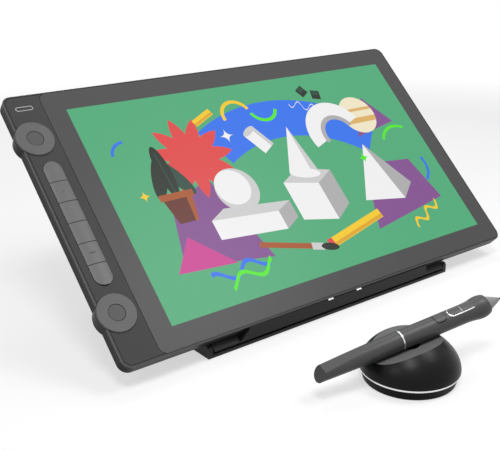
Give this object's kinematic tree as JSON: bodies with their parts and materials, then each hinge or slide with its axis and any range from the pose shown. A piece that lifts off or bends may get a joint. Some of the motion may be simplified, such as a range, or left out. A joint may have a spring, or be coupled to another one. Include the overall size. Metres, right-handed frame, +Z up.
{
  "type": "graphics tablet with screen",
  "caption": "Pen display tablet with dials and a column of keys at its left, leaning on a folding stand, with its pen lying across a round holder.",
  "frame": {"origin": "on the desk, under the middle of the stand's front rubber foot", "axes": "+X to the right of the person who draws on it, +Y away from that person, +Z up"},
  "size_m": [0.4203, 0.3448, 0.1796],
  "materials": {
    "stand_black": "fine satin black moulding",
    "lip_black": "satin black moulding",
    "mark_white": "satin white",
    "rubber_black": "dull",
    "steel_pin": "bright",
    "washer_nylon": "smooth",
    "case_black": "fine grained black",
    "frame_dark": "satin anodised dark grey",
    "strip_dark": "satin dark grey",
    "glass_etched": "etched anti-glare glass with a dark border",
    "tape_black": "adhesive foam",
    "panel_layer": "film layers",
    "backlight_white": "diffuser film in a metal tray",
    "sheet_copper": "printed coil sheet",
    "shield_steel": "plated sheet",
    "key_dark": "satin dark grey key top",
    "dial_dark": "satin dark grey",
    "trim_chrome": "polished",
    "board_green": "solder mask",
    "mat_silicone": "translucent silicone",
    "encoder_black": "moulded",
    "cable_amber": "polyimide film",
    "socket_steel": "drawn shell",
    "holder_black": "polished black",
    "weight_iron": "plated",
    "pen_dark": "soft satin dark grey",
    "pen_black": "satin black",
    "nib_black": "smooth",
    "copper_wire": "enamelled wire on a ferrite former"
  },
  "bodies": {
    "base": {"base_tray": "stand_black", "base_feet": "rubber_black", "rack_strips": "stand_black", "hinge_pins": "steel_pin", "hinge_washers": "washer_nylon", "holder_foot": "holder_black", "holder_pad": "rubber_black", "holder_weight": "weight_iron", "holder_ring": "trim_chrome", "spare_nibs": "nib_black"},
    "deck": {"deck_plate": "stand_black", "lip": "lip_black", "lip_marks": "mark_white", "deck_pads": "rubber_black", "prop_pin": "steel_pin"},
    "prop": {"prop_leg": "stand_black", "prop_rod": "steel_pin"},
    "tablet": {"rear_cover": "case_black", "tablet_feet": "rubber_black", "front_frame": "frame_dark", "case_screws": "steel_pin", "cover_glass": "glass_etched", "glass_tape": "tape_black", "display_panel": "panel_layer", "backlight": "backlight_white", "digitizer_sheet": "sheet_copper", "shield_plate": "shield_steel", "control_panel": "strip_dark", "pill_ring": "trim_chrome", "control_board": "board_green", "key_mat": "mat_silicone", "dial_upper_encoder": "encoder_black", "dial_lower_encoder": "encoder_black", "main_board": "board_green", "ribbon_cables": "cable_amber", "usb_sockets": "socket_steel"},
    "dial_upper": {"dial_upper": "dial_dark"},
    "dial_lower": {"dial_lower": "dial_dark"},
    "dial_upper_button": {"dial_upper_button": "dial_dark"},
    "dial_lower_button": {"dial_lower_button": "dial_dark"},
    "pill_key": {"pill_key": "key_dark"},
    "power_key": {"power_key": "case_black"},
    "holder_top": {"holder_dome": "holder_black"},
    "pen": {"pen_tail": "pen_dark", "pen_ring": "trim_chrome", "pen_grip": "pen_dark", "pen_cone": "pen_dark", "pen_rocker_frame": "trim_chrome", "pen_board": "board_green", "pen_coil": "copper_wire"},
    "pen_nib": {"pen_nib": "nib_black"},
    "pen_rocker": {"pen_rocker": "pen_black", "pen_rocker_inlay": "trim_chrome"},
    "pen_button": {"pen_button": "pen_black"},
    "key_1": {"key_1": "key_dark"},
    "key_2": {"key_2": "key_dark"},
    "key_3": {"key_3": "key_dark"},
    "key_4": {"key_4": "key_dark"},
    "key_5": {"key_5": "key_dark"},
    "key_6": {"key_6": "key_dark"}
  },
  "joints": [
    {"name": "deck_fold", "type": "hinge", "parent": "base", "child": "deck", "pos_m": [0, -0.0068, 0.0058], "axis": [1, 0, 0], "range_deg": [-43, 0]},
    {"name": "prop_fold", "type": "hinge", "parent": "deck", "child": "prop", "pos_m": [0, 0.05902, 0.06718], "axis": [1, 0, 0], "range_deg": [0, 86]},
    {"name": "tablet_lift", "type": "slide", "parent": "deck", "child": "tablet", "axis": [0, -0.682, 0.7314], "range_m": [0, 0.12]},
    {"name": "dial_upper_turn", "type": "hinge", "parent": "tablet", "child": "dial_upper", "pos_m": [-0.19615, 0.12548, 0.15171], "axis": [0, -0.682, 0.7314], "continuous": true},
    {"name": "dial_upper_press", "type": "slide", "parent": "tablet", "child": "dial_upper_button", "axis": [0, 0.682, -0.7314], "range_m": [0, 0.0005], "stiffness_N_per_m": 2000},
    {"name": "dial_lower_turn", "type": "hinge", "parent": "tablet", "child": "dial_lower", "pos_m": [-0.19615, 0.01402, 0.04777], "axis": [0, -0.682, 0.7314], "continuous": true},
    {"name": "dial_lower_press", "type": "slide", "parent": "tablet", "child": "dial_lower_button", "axis": [0, 0.682, -0.7314], "range_m": [0, 0.0005], "stiffness_N_per_m": 2000},
    {"name": "key_1_press", "type": "slide", "parent": "tablet", "child": "key_1", "axis": [0, 0.682, -0.7314], "range_m": [0, 0.0006], "stiffness_N_per_m": 1500},
    {"name": "key_2_press", "type": "slide", "parent": "tablet", "child": "key_2", "axis": [0, 0.682, -0.7314], "range_m": [0, 0.0006], "stiffness_N_per_m": 1500},
    {"name": "key_3_press", "type": "slide", "parent": "tablet", "child": "key_3", "axis": [0, 0.682, -0.7314], "range_m": [0, 0.0006], "stiffness_N_per_m": 1500},
    {"name": "key_4_press", "type": "slide", "parent": "tablet", "child": "key_4", "axis": [0, 0.682, -0.7314], "range_m": [0, 0.0006], "stiffness_N_per_m": 1500},
    {"name": "key_5_press", "type": "slide", "parent": "tablet", "child": "key_5", "axis": [0, 0.682, -0.7314], "range_m": [0, 0.0006], "stiffness_N_per_m": 1500},
    {"name": "key_6_press", "type": "slide", "parent": "tablet", "child": "key_6", "axis": [0, 0.682, -0.7314], "range_m": [0, 0.0006], "stiffness_N_per_m": 1500},
    {"name": "pill_key_press", "type": "slide", "parent": "tablet", "child": "pill_key", "axis": [0, 0.682, -0.7314], "range_m": [0, 0.0004], "stiffness_N_per_m": 2500},
    {"name": "power_key_press", "type": "slide", "parent": "tablet", "child": "power_key", "axis": [0, -0.7314, -0.682], "range_m": [0, 0.00035], "stiffness_N_per_m": 3000},
    {"name": "holder_twist", "type": "hinge", "parent": "base", "child": "holder_top", "pos_m": [-0.036, -0.1195, 0.009], "axis": [0, 0, 1], "range_deg": [0, 30]},
    {"name": "pen_lift", "type": "slide", "parent": "holder_top", "child": "pen", "axis": [0, 0, 1], "range_m": [0, 0.12]},
    {"name": "pen_nib_press", "type": "slide", "parent": "pen", "child": "pen_nib", "axis": [-0.9658, 0.2053, -0.1582], "range_m": [0, 0.0006], "stiffness_N_per_m": 5000},
    {"name": "pen_rocker_tilt", "type": "hinge", "parent": "pen", "child": "pen_rocker", "pos_m": [0.003, -0.12919, 0.04452], "axis": [-0.1608, -0.9533, -0.2556], "range_deg": [-2.5, 2.5], "stiffness_Nm_per_rad": 0.15},
    {"name": "pen_button_press", "type": "slide", "parent": "pen", "child": "pen_button", "axis": [0.2032, 0.2214, -0.9538], "range_m": [0, 0.0004], "stiffness_N_per_m": 2500}
  ],
  "couplings": [
    {"joint": "prop_fold", "follows": "deck_fold", "ratio": -2}
  ]
}
